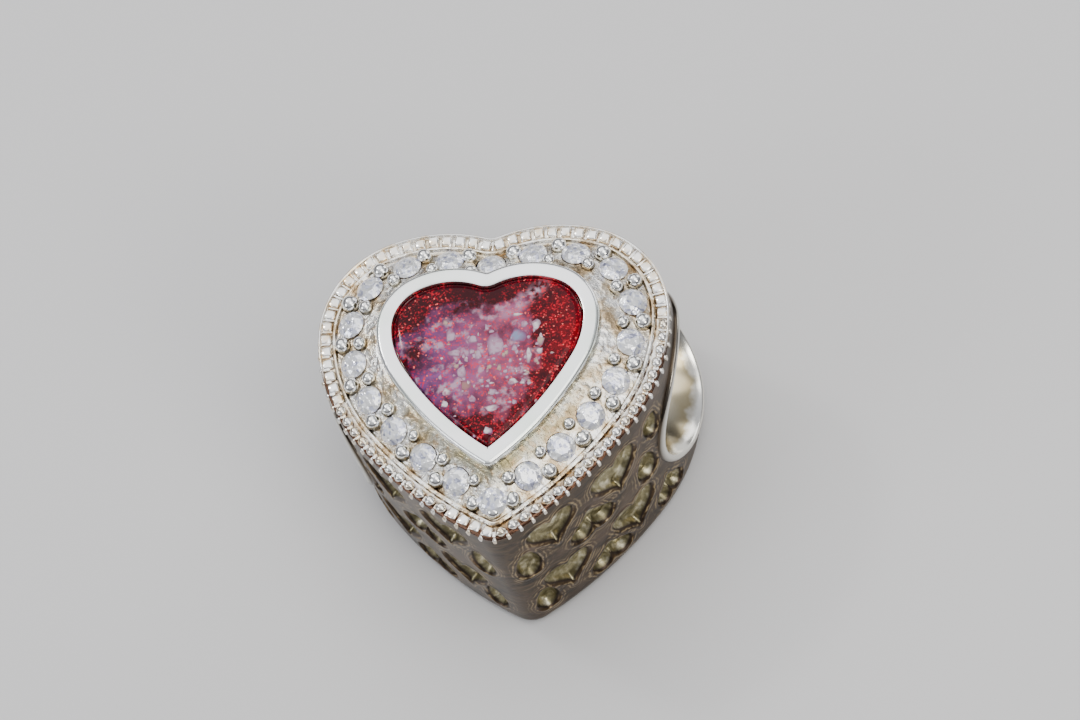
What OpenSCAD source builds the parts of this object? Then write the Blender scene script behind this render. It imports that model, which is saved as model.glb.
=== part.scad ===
// Heart-shaped large-hole charm bead with a resin-filled heart bezel and a row of bead-set stones.
// Millimetres. The bead lies on its flat back: +Z is the heart face, +Y the notch, -Y the tip.

/* [Heart outline] */
// Widest width of the heart across its side wall
heart_w = 12; // [11:0.5:13]
// Radius of a lobe's flat top
top_r = 5.3; // [5:0.1:5.6]
// Radius of a lobe's shoulder
shoulder_r = 3.5; // [3.3:0.1:3.7]
// Angle through which the shoulder turns
shoulder_turn = 71; // [68:1:74]
// Radius in the notch
notch_r = 0.6; // [0.4:0.1:1]
// Radius of the upper flank, below the shoulder
flank_r = 6.3; // [6:0.1:6.8]
// Angle through which the upper flank turns
flank_turn = 37; // [35:1:40]
// Radius of the lower flank, down to the tip
lower_r = 14.6; // [14:0.2:16]
// Radius of the rounded tip
tip_r = 0.9; // [0.7:0.1:1]

/* [Bezel outline] */
// Widest width of the bezel's heart
bezel_w = 7.6; // [7.4:0.1:7.8]
// Radius of a lobe's flat top
bezel_top_r = 3.15; // [3.05:0.05:3.3]
// Radius of a lobe's shoulder
bezel_shoulder_r = 2; // [1.9:0.05:2.1]
// Angle through which the shoulder turns
bezel_shoulder_turn = 65; // [62:1:68]
// Radius in the notch
bezel_notch_r = 0.15; // [0.1:0.05:0.3]
// Radius of the upper flank, below the shoulder
bezel_flank_r = 3.3; // [3.2:0.1:3.6]
// Angle through which the upper flank turns
bezel_flank_turn = 30; // [28:1:32]
// Radius of the lower flank, down to the tip
bezel_lower_r = 11; // [10.5:0.5:12]
// Radius of the tip
bezel_tip_r = 0.25; // [0.15:0.05:0.4]
// Distance of the bezel's heart below the outer heart's shoulders
bezel_drop = 0.32; // [0.2:0.02:0.4]

/* [Body] */
// Height of the side wall, from the flat back to the rim
rim_z = 7.8; // [7.4:0.1:8]
// Thickness of the side wall round the hollow
wall_t = 1.05; // [0.9:0.05:1.2]
// Thickness of the flat back
back_t = 0.8; // [0.6:0.1:1]
// Rounding of the back edge
back_round = 0.45; // [0.3:0.05:0.6]
// Height that the stone row's floor gains from the rim to the bezel
floor_rise = 0.6; // [0.4:0.1:0.7]

/* [Rim] */
// Width of the milgrain band
band_w = 0.5; // [0.4:0.05:0.6]
// Number of milgrain ribs round the rim
rib_count = 76; // [60:2:84]
// Width of one rib
rib_w = 0.13; // [0.1:0.01:0.18]
// How far a rib stands out of the side wall
rib_out = 0.12; // [0.05:0.01:0.15]
// Depth of the cells between the ribs
cell_depth = 0.14; // [0.1:0.02:0.2]

/* [Bezel and resin] */
// Width of the bezel's flat top
bezel_t = 0.57; // [0.5:0.01:0.62]
// Height of the bezel's top above the rim
bezel_rise = 1.1; // [1:0.05:1.3]
// Depth of the cup that holds the resin
cup_depth = 1; // [0.8:0.1:1.2]
// Height of the resin's dome above the bezel
dome_rise = 0.05; // [0:0.05:0.2]

/* [Stones] */
// Number of stones round the heart
stone_count = 20; // [16:2:20]
// Diameter of a stone
stone_d = 0.98; // [0.85:0.01:1]
// Height of a stone's crown above its girdle
crown_h = 0.17; // [0.12:0.01:0.2]
// Depth of a stone's pavilion below its girdle
pavilion_h = 0.45; // [0.4:0.01:0.48]
// Height of the girdles above the floor
stone_lift = 0.08; // [0:0.02:0.1]
// Distance of the stone row inside the side wall
row_inset = 1.16; // [1.1:0.01:1.2]
// Diameter of the silver grains on the rim side of the row
outer_grain_d = 0.58; // [0.5:0.02:0.6]
// Diameter of the silver grains on the bezel side of the row
inner_grain_d = 0.46; // [0.4:0.02:0.5]

/* [Through-hole] */
// Diameter of the hole through the core tube
bore_d = 4.4; // [4:0.1:4.5]
// Wall of the core tube
tube_t = 0.6; // [0.5:0.05:0.65]
// Outer diameter of the lip round each mouth
lip_d = 5.9; // [5.7:0.1:6]
// Height of the lip above the side wall
lip_h = 0.16; // [0.1:0.02:0.2]
// Length over which each mouth flares
flare_l = 2; // [1.5:0.25:2.5]
// How much wider than the hole each mouth's radius becomes
flare_rise = 0.5; // [0.3:0.05:0.5]
// Height of the hole's axis above the back
bore_z = 3.75; // [3.6:0.05:3.9]
// Distance of the hole's axis below the shoulder centres
bore_drop = 0.5; // [0.3:0.1:0.7]

/* [Relief] */
// Depth of the recesses in the side wall
relief_depth = 0.36; // [0.2:0.02:0.4]
// How much further from the tip the left wall's recesses lie
left_shift = 0.4; // [0:0.1:0.5]

/* [Hidden] */
// Clearance between pieces that are fitted together
fit_gap = 0.03;
// Columns of a section: height, inset and the heart it follows
Z = 0;
INSET = 1;
HEART = 2;
// Columns of an outline arc: centre, radius at the side wall, side (1 bulges out, -1 in), angles, segments
CX = 0;
CY = 1;
R = 2;
SIDE = 3;
FROM = 4;
TO = 5;
SEGMENTS = 6;
// Columns of the relief chart: place along the wall from the tip, depth behind the rim, shape, width, height
ALONG = 0;
BEHIND = 1;
SHAPE = 2;
WIDE = 3;
HIGH = 4;
// The two hearts, and the columns of their sizes
RIM = 0;
BEZEL = 1;
WIDTH = 0;
TOP_R = 1;
SHOULDER_R = 2;
SHOULDER_TURN = 3;
NOTCH_R = 4;
FLANK_R = 5;
FLANK_TURN = 6;
LOWER_R = 7;
TIP_R = 8;
DROP = 9;
hearts = [
    [heart_w, top_r, shoulder_r, shoulder_turn, notch_r, flank_r, flank_turn, lower_r, tip_r, 0],
    [bezel_w, bezel_top_r, bezel_shoulder_r, bezel_shoulder_turn, bezel_notch_r,
        bezel_flank_r, bezel_flank_turn, bezel_lower_r, bezel_tip_r, bezel_drop],
];

sharpest = 0.05;
// A stone's half girdle, culet and table, and the height that its seat is cut to
girdle_h = 0.02;
culet_r = 0.03;
table_share = 0.58;
seat_top = 0.6;
// Places of the grains: distances from the stone row, and heights above the floor
outer_off = 0.3;
inner_off = 0.34;
tip_grain_inset = 0.95;
grain_lift = 0.07;
// Segments round the bore's flare and along it
flare_sides = 48;
flare_steps = 4;
// How far a flare starts inside the hole's wall and ends past the lip
flare_over = 0.06;

// The radius left at the tip once a heart is drawn in by an inset
function tip_radius(h, inset) = max(h[TIP_R] - inset, sharpest);

// The arcs of a heart's right half, from the notch to the tip
function half_arcs(heart, inset) = let (
    h = hearts[heart],
    shoulder_x = h[WIDTH] / 2 - h[SHOULDER_R],
    shoulder_y = -h[DROP],
    top_x = shoulder_x - (h[TOP_R] - h[SHOULDER_R]) * cos(h[SHOULDER_TURN]),
    top_y = shoulder_y - (h[TOP_R] - h[SHOULDER_R]) * sin(h[SHOULDER_TURN]),
    reach = h[TOP_R] + h[NOTCH_R],
    notch_turn = asin(top_x / reach),
    flank_x = shoulder_x - (h[FLANK_R] - h[SHOULDER_R]),
    lower_x = flank_x - (h[LOWER_R] - h[FLANK_R]) * cos(h[FLANK_TURN]),
    lower_y = shoulder_y + (h[LOWER_R] - h[FLANK_R]) * sin(h[FLANK_TURN]),
    tip = tip_radius(h, inset),
    tip_reach = h[LOWER_R] - inset - tip,
    tip_angle = acos(-lower_x / tip_reach)
) [
    [0, top_y + reach * cos(notch_turn), h[NOTCH_R], -1, -90, notch_turn - 90, 3],
    [top_x, top_y, h[TOP_R], 1, 90 + notch_turn, h[SHOULDER_TURN], 9],
    [shoulder_x, shoulder_y, h[SHOULDER_R], 1, h[SHOULDER_TURN], 0, 9],
    [flank_x, shoulder_y, h[FLANK_R], 1, 0, -h[FLANK_TURN], 7],
    [lower_x, lower_y, h[LOWER_R], 1, -h[FLANK_TURN], -tip_angle, 5],
    [0, lower_y - tip_reach * sin(tip_angle), tip + inset, 1, -tip_angle, -90, 3],
];
function arc_radius(arc, inset) = arc[R] - arc[SIDE] * inset;
function arc_length(arc, inset) = arc_radius(arc, inset) * abs(arc[TO] - arc[FROM]) * PI / 180;
function on_arc(arc, inset, angle) =
    [arc[CX] + arc_radius(arc, inset) * cos(angle), arc[CY] + arc_radius(arc, inset) * sin(angle)];
function half_outline(heart, inset) = let (arcs = half_arcs(heart, inset)) [
    for (arc = arcs)
        for (i = [0:arc[SEGMENTS] - 1])
            on_arc(arc, inset, arc[FROM] + (arc[TO] - arc[FROM]) * i / arc[SEGMENTS]),
    on_arc(arcs[len(arcs) - 1], inset, -90),
];
// A heart's whole outline, anticlockwise: down the left side from the notch, and up the right side
function outline(heart, inset) = let (half = half_outline(heart, inset), n = len(half)) concat(
    [for (p = half) [-p.x, p.y]],
    [for (i = [n - 2:-1:1]) half[i]]
);

// The outer heart's right half: its length, and the point at a length along it from the notch,
// as x, y and the angle of the outward normal
function half_length(inset) = let (arcs = half_arcs(RIM, inset)) arc_length(arcs[0], inset)
    + arc_length(arcs[1], inset) + arc_length(arcs[2], inset) + arc_length(arcs[3], inset)
    + arc_length(arcs[4], inset) + arc_length(arcs[5], inset);
function along(inset, s, k = 0) = let (
    arc = half_arcs(RIM, inset)[k],
    len_k = arc_length(arc, inset),
    angle = arc[FROM] + (arc[TO] - arc[FROM]) * min(s / len_k, 1),
    p = on_arc(arc, inset, angle)
) s > len_k && k < 5 ? along(inset, s - len_k, k + 1) : [p.x, p.y, angle + (arc[SIDE] < 0 ? 180 : 0)];

heart_ys = [for (p = half_outline(RIM, 0)) p.y];
centre_y = (max(heart_ys) + min(heart_ys)) / 2;
bore_y = -bore_drop;
bore_r = bore_d / 2;
tube_r = bore_r + tube_t;
mouth_x = heart_w / 2 + lip_h;
straight = mouth_x - flare_l;
bezel_z = rim_z + bezel_rise;
cup_z = bezel_z - cup_depth;
rail_w = 0.12;
rail_inset = band_w + rail_w;
floor_z = rim_z - 0.05;
edge = 0.08;
slope = atan2(floor_rise, (heart_w - bezel_w) / 2 - rail_inset);
function floor_at(inset) = floor_z + (inset - rail_inset) * tan(slope);

// The body's outside, from the back round the rim and the bezel to the floor of the cup
body_sections = [
    [0, back_round, RIM],
    [back_round * 0.29, back_round * 0.29, RIM],
    [back_round, 0, RIM],
    [rim_z - cell_depth - edge, 0, RIM],
    [rim_z - cell_depth, edge, RIM],
    [rim_z - cell_depth, band_w - edge / 2, RIM],
    [rim_z, band_w, RIM],
    [rim_z, band_w + rail_w / 2, RIM],
    [floor_z, rail_inset, RIM],
    [floor_z + floor_rise, 0, BEZEL],
    [bezel_z - 1.5 * edge, 0, BEZEL],
    [bezel_z, edge, BEZEL],
    [bezel_z, bezel_t - edge, BEZEL],
    [bezel_z - edge, bezel_t, BEZEL],
    [cup_z, bezel_t, BEZEL],
];
hollow_sections = [
    [back_t, wall_t, RIM],
    [rim_z - wall_t, wall_t, RIM],
];
resin_sections = [
    [cup_z + fit_gap, bezel_t + fit_gap, BEZEL],
    [bezel_z - 2 * edge, bezel_t + fit_gap, BEZEL],
    [bezel_z - edge, bezel_t + edge, BEZEL],
    [bezel_z - edge / 4, bezel_t + 3 * edge, BEZEL],
    [bezel_z + dome_rise, bezel_t + 7 * edge, BEZEL],
];
// The side wall's recesses on one half, from the tip to the notch
relief = [
    [0.70, 3.05, "drop", 0.90, 1.90],
    [0.80, 6.20, "drop", 0.80, 1.60],
    [1.93, 1.95, "heart", 1.95, 2.05],
    [1.88, 5.50, "heart", 1.90, 2.00],
    [3.33, 3.27, "turned", 1.95, 1.80],
    [3.55, 6.40, "turned", 1.85, 1.60],
    [4.78, 2.12, "heart", 2.15, 2.30],
    [4.95, 5.70, "heart", 2.05, 2.15],
    [6.05, 3.65, "drop", 0.95, 1.70],
    [6.83, 1.75, "oval", 0.85, 1.40],
    [6.65, 6.40, "turned", 1.50, 1.60],
    [13.15, 1.75, "oval", 0.85, 1.40],
    [13.30, 6.40, "turned", 1.50, 1.60],
    [13.95, 3.65, "drop", 0.95, 1.70],
    [15.05, 5.70, "heart", 2.05, 2.15],
    [15.22, 2.12, "heart", 2.15, 2.30],
    [16.45, 6.40, "turned", 1.60, 1.60],
    [16.67, 3.27, "turned", 1.80, 1.80],
];

// A closed skin through sections, each a height and an inset of the outline
module loft(sections) {
    n = len(outline(RIM, 0));
    top = (len(sections) - 1) * n;
    points = [for (row = sections) for (p = outline(row[HEART], row[INSET])) [p.x, p.y, row[Z]]];
    sides = [
        for (k = [0:len(sections) - 2])
            for (i = [0:n - 1])
                [k * n + i, (k + 1) * n + i, (k + 1) * n + (i + 1) % n, k * n + (i + 1) % n],
    ];
    faces = concat([[for (i = [0:n - 1]) i]], sides, [[for (i = [n - 1:-1:0]) top + i]]);
    polyhedron(points, faces);
}

// Places its children on the right half at a length from the notch, with +X along the outward normal
module at_place(inset, s, z) {
    place = along(inset, s);
    translate([place.x, place.y, z]) rotate([0, 0, place[2]]) children();
}

module both_sides() {
    children();
    mirror([1, 0, 0]) children();
}

// A cylinder along the hole's axis
module cross_rod(r, length) {
    translate([0, bore_y, bore_z]) rotate([0, 90, 0])
        cylinder(h = length, r = r, center = true, $fn = 64);
}

// The recesses' outlines, from their centres
function heart_curve(w, h) = [
    for (t = [0:18:342])
        [w / 2 * pow(sin(t), 3), h / 29 * (13 * cos(t) - 5 * cos(2 * t) - 2 * cos(3 * t) - cos(4 * t) + 2.5)]
];
function oval_curve(w, h) = [for (t = [0:30:330]) [w / 2 * cos(t), h / 2 * sin(t)]];
function drop_curve(w, h) = [for (t = [0:24:336]) [w / 2 * sin(t) * (1 - 0.35 * cos(t)), h / 2 * cos(t)]];
function flipped(points) = [for (p = points) [-p.x, -p.y]];
function recess_curve(shape, w, h) =
    shape == "heart" ? heart_curve(w, h)
    : shape == "turned" ? flipped(heart_curve(w, h))
    : shape == "drop" ? drop_curve(w, h)
    : oval_curve(w, h);

// One half's recesses, each cut into the wall along -X with its outline upright
module wall_relief(shift) {
    for (row = relief)
        at_place(0, half_length(0) - row[ALONG] - shift, rim_z - row[BEHIND])
            translate([-relief_depth, 0, 0]) rotate([90, 0, 90])
                linear_extrude(relief_depth + 1) polygon(recess_curve(row[SHAPE], row[WIDE], row[HIGH]));
}

module rib() {
    translate([-band_w - rail_w / 3, -rib_w / 2, -cell_depth - 0.2])
        cube([band_w + rail_w / 3 + rib_out, rib_w, cell_depth + 0.19]);
}

// Ribs all round the rim: one at the tip, one at the notch, and pairs between
module milgrain() {
    pitch = 2 * half_length(0) / rib_count;
    for (i = [0, rib_count / 2]) at_place(0, i * pitch, rim_z) rib();
    both_sides()
        for (i = [1:rib_count / 2 - 1]) at_place(0, i * pitch, rim_z) rib();
}

// Two grains in each space between neighbouring stones, and one in the tip
module grains() {
    pitch = 2 * half_length(row_inset) / stone_count;
    outer_inset = row_inset - outer_off;
    inner_inset = row_inset + inner_off;
    outer_share = half_length(outer_inset) / half_length(row_inset);
    inner_share = half_length(inner_inset) / half_length(row_inset);
    both_sides()
        for (i = [0:stone_count / 2 - 1]) {
            at_place(outer_inset, (i + 0.5) * pitch * outer_share, floor_at(outer_inset) + grain_lift)
                sphere(d = outer_grain_d, $fn = 20);
            at_place(inner_inset, (i + 0.5) * pitch * inner_share, floor_at(inner_inset) + grain_lift)
                sphere(d = inner_grain_d, $fn = 20);
        }
    at_place(tip_grain_inset, half_length(tip_grain_inset), floor_at(rail_inset))
        sphere(d = outer_grain_d, $fn = 20);
}

// Puts its children where stone i sits: 0 is at the notch, then to the right, round the tip and back
module at_stone(i) {
    pitch = 2 * half_length(row_inset) / stone_count;
    turn = i <= stone_count / 2 ? i : stone_count - i;
    side = i <= stone_count / 2 ? 0 : 1;
    mirror([side, 0, 0])
        at_place(row_inset, turn * pitch, floor_at(row_inset) + stone_lift)
            rotate([0, slope, 0]) children();
}

// A round seat, straight at the girdle and conical below, that clears the stone
module seat() {
    seat_r = stone_d / 2 + fit_gap;
    seat_foot = pavilion_h + 3 * fit_gap;
    rotate_extrude($fn = 32)
        polygon([[0, -seat_foot], [0.1, -seat_foot], [seat_r, -0.1], [seat_r, seat_top], [0, seat_top]]);
}

// A brilliant cut: table, eight crown facets, girdle and eight pavilion facets
module brilliant() {
    r = stone_d / 2;
    rotate_extrude($fn = 8)
        polygon([
            [0, -pavilion_h], [culet_r, -pavilion_h], [r, -girdle_h], [r, girdle_h],
            [r * table_share, crown_h], [0, crown_h],
        ]);
}

module silver_body() {
    color("silver") difference() {
        union() {
            loft(body_sections);
            milgrain();
            grains();
        }
        difference() {
            loft(hollow_sections);
            cross_rod(tube_r + fit_gap + wall_t, wall_t);
        }
        cross_rod(tube_r + fit_gap, 2 * heart_w);
        for (i = [0:stone_count - 1]) at_stone(i) seat();
        wall_relief(0);
        mirror([1, 0, 0]) wall_relief(left_shift);
    }
}

// How far the side wall stands from the middle at a height y on its shoulder or flank
function wall_x(y) = let (r = y > 0 ? shoulder_r : flank_r)
    heart_w / 2 - r + sqrt(r * r - y * y);

// A mouth's flare: a trumpet that starts inside the hole and ends past the lip, whose curve it follows
module flare() {
    mouth_r = bore_r + flare_rise;
    turns = [for (i = [0:flare_sides - 1]) 360 * i / flare_sides];
    points = [
        for (k = [0:flare_steps])
            for (t = turns)
                let (
                    share = k / flare_steps,
                    lip_x = wall_x(bore_y + mouth_r * cos(t)) + lip_h + flare_over,
                    r = bore_r - flare_over + (flare_rise + flare_over) * share * share
                ) [straight + (lip_x - straight) * share, bore_y + r * cos(t), bore_z + r * sin(t)],
        for (t = turns) [mouth_x + 1, bore_y + mouth_r * cos(t), bore_z + mouth_r * sin(t)],
    ];
    n = flare_sides;
    sides = [
        for (k = [0:flare_steps])
            for (i = [0:n - 1])
                [k * n + i, (k + 1) * n + i, (k + 1) * n + (i + 1) % n, k * n + (i + 1) % n],
    ];
    polyhedron(points, concat(
        [[for (i = [0:n - 1]) i]], sides, [[for (i = [n - 1:-1:0]) (flare_steps + 1) * n + i]]
    ));
}

module bore() {
    cross_rod(bore_r, 2 * heart_w);
    both_sides() flare();
}

// The tube, with lips that follow the side walls
module core_tube() {
    color("lightgray") difference() {
        intersection() {
            union() {
                cross_rod(tube_r, 2 * heart_w);
                difference() {
                    cross_rod(lip_d / 2, 2 * heart_w);
                    linear_extrude(rim_z) polygon(outline(RIM, -fit_gap));
                }
            }
            linear_extrude(rim_z) polygon(outline(RIM, -lip_h));
        }
        bore();
    }
}

module resin_heart() {
    color("crimson") loft(resin_sections);
}

module stone(i) {
    color("whitesmoke") at_stone(i) brilliant();
}

function stone_name(i) = str("stone_", i < 9 ? "0" : "", i + 1);

module in_place() {
    translate([0, -centre_y, 0]) children();
}

in_place() silver_body();
in_place() core_tube();
in_place() resin_heart();
for (i = [0:stone_count - 1])
    in_place() stone(i);
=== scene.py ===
# Heart-shaped silver charm bead: a resin heart in a bezel, a row of white stones, a milgrain rim,
# a relief of hearts cast into its side wall, and a wide hole lined with a flared tube.
# It is put together in the order in which a jeweller makes it, lying on its flat back.
import math
import random

import bpy
import numpy as np
from mathutils import Matrix, Vector, noise


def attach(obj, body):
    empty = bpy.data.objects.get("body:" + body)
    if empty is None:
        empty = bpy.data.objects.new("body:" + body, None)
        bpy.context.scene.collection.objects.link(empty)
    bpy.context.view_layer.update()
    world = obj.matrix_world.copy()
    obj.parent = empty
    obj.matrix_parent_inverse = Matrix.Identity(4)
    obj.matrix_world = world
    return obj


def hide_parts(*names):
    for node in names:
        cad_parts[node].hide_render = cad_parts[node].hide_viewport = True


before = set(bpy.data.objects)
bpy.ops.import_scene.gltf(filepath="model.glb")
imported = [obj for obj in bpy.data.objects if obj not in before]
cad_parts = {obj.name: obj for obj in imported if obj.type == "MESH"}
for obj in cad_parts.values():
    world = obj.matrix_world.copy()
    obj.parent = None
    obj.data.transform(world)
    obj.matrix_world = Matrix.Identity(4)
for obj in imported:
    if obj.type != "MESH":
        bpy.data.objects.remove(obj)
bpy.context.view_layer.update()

MM = 0.001

# The camera stands above the bead's tip and a little to its right, and is turned so that the
# bead's right wall faces down the picture. It is a long lens at about 18 cm.
camera_aim = Vector((1.088, 2.023, 4.853)) * MM
camera_azimuth, camera_elevation, camera_roll = (math.radians(a) for a in (20.61, 63.774, -23.237))
camera_distance = 182.53 * MM
camera_lens = 178.72
to_camera = Vector((math.sin(camera_azimuth) * math.cos(camera_elevation),
                    -math.cos(camera_azimuth) * math.cos(camera_elevation), math.sin(camera_elevation)))
level = Vector((math.cos(camera_azimuth), math.sin(camera_azimuth), 0))
upright = to_camera.cross(level)
picture_right = math.cos(camera_roll) * level + math.sin(camera_roll) * upright
picture_up = to_camera.cross(picture_right)
camera_data = bpy.data.cameras.new("camera")
camera_data.lens = camera_lens
camera_data.sensor_width = 36
camera_data.clip_start = 0.01
camera_data.clip_end = 5
camera = bpy.data.objects.new("camera", camera_data)
bpy.context.scene.collection.objects.link(camera)
turn = Matrix((picture_right, picture_up, to_camera)).transposed().to_4x4()
camera.matrix_world = Matrix.Translation(camera_aim + to_camera * camera_distance) @ turn
bpy.context.scene.camera = camera

# The studio: a pale floor and a soft surround that is paler above. A large light over the lobes and
# one overhead are what the upper faces mirror to the camera, a small one makes glints in the rounded
# parts, and three more light the right wall, the left wall and the back.
bpy.ops.object.select_all(action="DESELECT")
bpy.ops.mesh.primitive_plane_add(size=2)
floor = bpy.context.object
floor.name = "studio_floor"
floor_paint = bpy.data.materials.new("pale_floor")
floor_paint.use_nodes = True
floor_shader = floor_paint.node_tree.nodes["Principled BSDF"]
floor_shader.inputs["Base Color"].default_value = (0.7, 0.69, 0.68, 1)
floor_shader.inputs["Roughness"].default_value = 0.7
floor.data.materials.append(floor_paint)

surround = bpy.data.worlds.new("soft_surround")
surround.use_nodes = True
backdrop = surround.node_tree
gaze = backdrop.nodes.new("ShaderNodeTexCoord")
height = backdrop.nodes.new("ShaderNodeSeparateXYZ")
rise = backdrop.nodes.new("ShaderNodeValToRGB")
backdrop.links.new(gaze.outputs["Generated"], height.inputs["Vector"])
backdrop.links.new(height.outputs["Z"], rise.inputs["Fac"])
backdrop.links.new(rise.outputs["Color"], backdrop.nodes["Background"].inputs["Color"])
rise.color_ramp.elements[0].position = 0.2
rise.color_ramp.elements[0].color = (0.13, 0.13, 0.14, 1)
rise.color_ramp.elements[1].position = 0.85
rise.color_ramp.elements[1].color = (0.72, 0.74, 0.8, 1)
bpy.context.scene.world = surround

bead_middle = Vector((0, 0, 4 * MM))


def soft_light(name, direction, distance, size, brightness, colour=(1, 1, 1)):
    """A square light that faces the bead from a direction, as bright to look at as brightness says."""
    data = bpy.data.lights.new(name, "AREA")
    data.shape = "SQUARE"
    data.size = size
    data.energy = brightness * math.pi * size * size
    data.color = colour
    lamp = bpy.data.objects.new(name, data)
    bpy.context.scene.collection.objects.link(lamp)
    away = Vector(direction).normalized()
    lamp.location = bead_middle + away * distance
    lamp.rotation_euler = away.to_track_quat("Z", "Y").to_euler()


soft_light("light_over_lobes", (-0.2, 0.5, 0.9), 0.2, 0.2, 1.4)
soft_light("light_overhead", (0.35, -0.15, 0.9), 0.2, 0.12, 2.9, (1, 0.98, 0.95))
soft_light("light_glint", (-0.55, 0.35, 0.75), 0.2, 0.022, 28)
soft_light("light_right_wall", (0.9, -0.75, 0.85), 0.15, 0.045, 8.0, (1, 0.97, 0.9))
soft_light("light_left_wall", (-1, -0.5, 0.6), 0.15, 0.055, 5.0, (0.92, 0.96, 1))
soft_light("light_behind", (0.8, 0.9, 0.3), 0.16, 0.07, 2.5)

# The cast silver body: a deep heart-shaped side wall and a plain flat back. Hearts, ovals and drops
# are recessed in the wall, which is left dark and oxidised, with wiped khaki floors in the recesses.
# It starts as a flat sheet that is wrapped round the heart, and the recesses are pressed into it.
rim_z = 7.8
back_round = 0.45
wall_top = rim_z - 0.24
grid_step = 0.056
relief_depth = 0.34
relief_slope = 0.11
relief_reach = 0.6
unevenness = 0.02
raised_edge, edge_place, edge_width = 0.02, 0.06, 0.05
left_shift = 0.4
least_tip = 0.05
walk_steps = (60, 200, 200, 200, 200, 120)
# A heart is given by its width, the radius of the lobe's top, the shoulder's radius and where it starts
# in degrees, the radii of the notch and the flank, where the flank ends, the radii of the lower flank
# and the tip, and how far it lies below the rim's heart.
RIM_HEART = (12, 5.3, 3.5, 71, 0.6, 6.3, 37, 14.6, 0.9, 0)
SHOULDER_Y = 2.0628
bore_y, bore_z = SHOULDER_Y - 0.5, 3.75
mouth_clear = 3.05


def heart_arcs(heart, inset):
    """The arcs of a heart's right half from notch to tip: centre, radius, first and last angle."""
    (width, top_r, shoulder_r, shoulder_turn, notch_r,
     flank_r, flank_turn, lower_r, tip_r, drop) = heart
    turn, flank = math.radians(shoulder_turn), math.radians(flank_turn)
    shoulder_x, shoulder_y = width / 2 - shoulder_r, SHOULDER_Y - drop
    top_x = shoulder_x - (top_r - shoulder_r) * math.cos(turn)
    top_y = shoulder_y - (top_r - shoulder_r) * math.sin(turn)
    reach = top_r + notch_r
    notch_turn = math.asin(top_x / reach)
    flank_x = shoulder_x - (flank_r - shoulder_r)
    lower_x = flank_x - (lower_r - flank_r) * math.cos(flank)
    lower_y = shoulder_y + (lower_r - flank_r) * math.sin(flank)
    tip = max(tip_r - inset, least_tip)
    tip_reach = lower_r - inset - tip
    tip_turn = math.acos(-lower_x / tip_reach)
    quarter = math.pi / 2
    return [
        (0, top_y + reach * math.cos(notch_turn), notch_r + inset, -quarter, notch_turn - quarter),
        (top_x, top_y, top_r - inset, quarter + notch_turn, turn),
        (shoulder_x, shoulder_y, shoulder_r - inset, turn, 0),
        (flank_x, shoulder_y, flank_r - inset, 0, -flank),
        (lower_x, lower_y, lower_r - inset, -flank, -tip_turn),
        (0, lower_y - tip_reach * math.sin(tip_turn), tip, -tip_turn, -quarter),
    ]


def heart_ring(heart, inset, steps):
    """A heart's outline, anticlockwise from the notch, with a number of steps for each arc."""
    right = []
    for (x, y, r, first, last), count in zip(heart_arcs(heart, inset), steps):
        for angle in np.linspace(first, last, count, endpoint=False):
            right.append((x + r * math.cos(angle), y + r * math.sin(angle)))
    x, y, r, _, _ = heart_arcs(heart, inset)[-1]
    right.append((x, y - r))
    return np.array([(-x, y) for x, y in right] + right[-2:0:-1])


def heart_walk(heart, inset, distances):
    """Places at distances along a heart's right half from the notch: x, y and the outward normal."""
    ring = heart_ring(heart, inset, walk_steps)
    half = ring[:sum(walk_steps) + 1] * (-1, 1)
    steps = np.hypot(*np.diff(half, axis=0).T)
    length = np.concatenate([[0], np.cumsum(steps)])
    x = np.interp(distances, length, half[:, 0])
    y = np.interp(distances, length, half[:, 1])
    slope_x = np.gradient(half[:, 0], length)
    slope_y = np.gradient(half[:, 1], length)
    normal_x = -np.interp(distances, length, slope_y)
    normal_y = np.interp(distances, length, slope_x)
    scale = np.hypot(normal_x, normal_y)
    return x, y, normal_x / scale, normal_y / scale, length[-1]


def wrap_sheet(name, rings, closed_tube=False, marks=None):
    """A flat sheet whose rows are laid on rings of points, in millimetres. Its ends are capped or joined.
    marks is one number for each point, which the piece's finish can read."""
    rings = np.array(rings)
    rows, columns = rings.shape[:2]
    strips = rows if closed_tube else rows - 1
    bpy.ops.object.select_all(action="DESELECT")
    bpy.ops.mesh.primitive_grid_add(x_subdivisions=columns, y_subdivisions=strips)
    sheet = bpy.context.object
    sheet.name = name
    sheet.data.name = name
    points = np.concatenate([rings, rings[:, :1]], axis=1)
    if closed_tube:
        points = np.concatenate([points, points[:1]], axis=0)
    sheet.data.vertices.foreach_set("co", (points * MM).astype(np.float32).ravel())
    if marks is not None:
        marks = np.array(marks)
        marks = np.concatenate([marks, marks[:, :1]], axis=1)
        if closed_tube:
            marks = np.concatenate([marks, marks[:1]], axis=0)
        layer = sheet.data.attributes.new("mark", "FLOAT", "POINT")
        layer.data.foreach_set("value", marks.astype(np.float32).ravel())
    bpy.ops.object.mode_set(mode="EDIT")
    bpy.ops.mesh.select_all(action="SELECT")
    bpy.ops.mesh.remove_doubles(threshold=1e-7)
    if not closed_tube:
        bpy.ops.mesh.select_mode(type="EDGE")
        bpy.ops.mesh.select_all(action="DESELECT")
        bpy.ops.mesh.select_non_manifold(extend=False, use_wire=False, use_boundary=True,
                                         use_multi_face=False, use_non_contiguous=False, use_verts=False)
        bpy.ops.mesh.fill_holes(sides=0)
    bpy.ops.mesh.select_all(action="SELECT")
    bpy.ops.mesh.normals_make_consistent(inside=False)
    bpy.ops.mesh.select_mode(type="VERT")
    bpy.ops.object.mode_set(mode="OBJECT")
    return sheet


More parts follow.
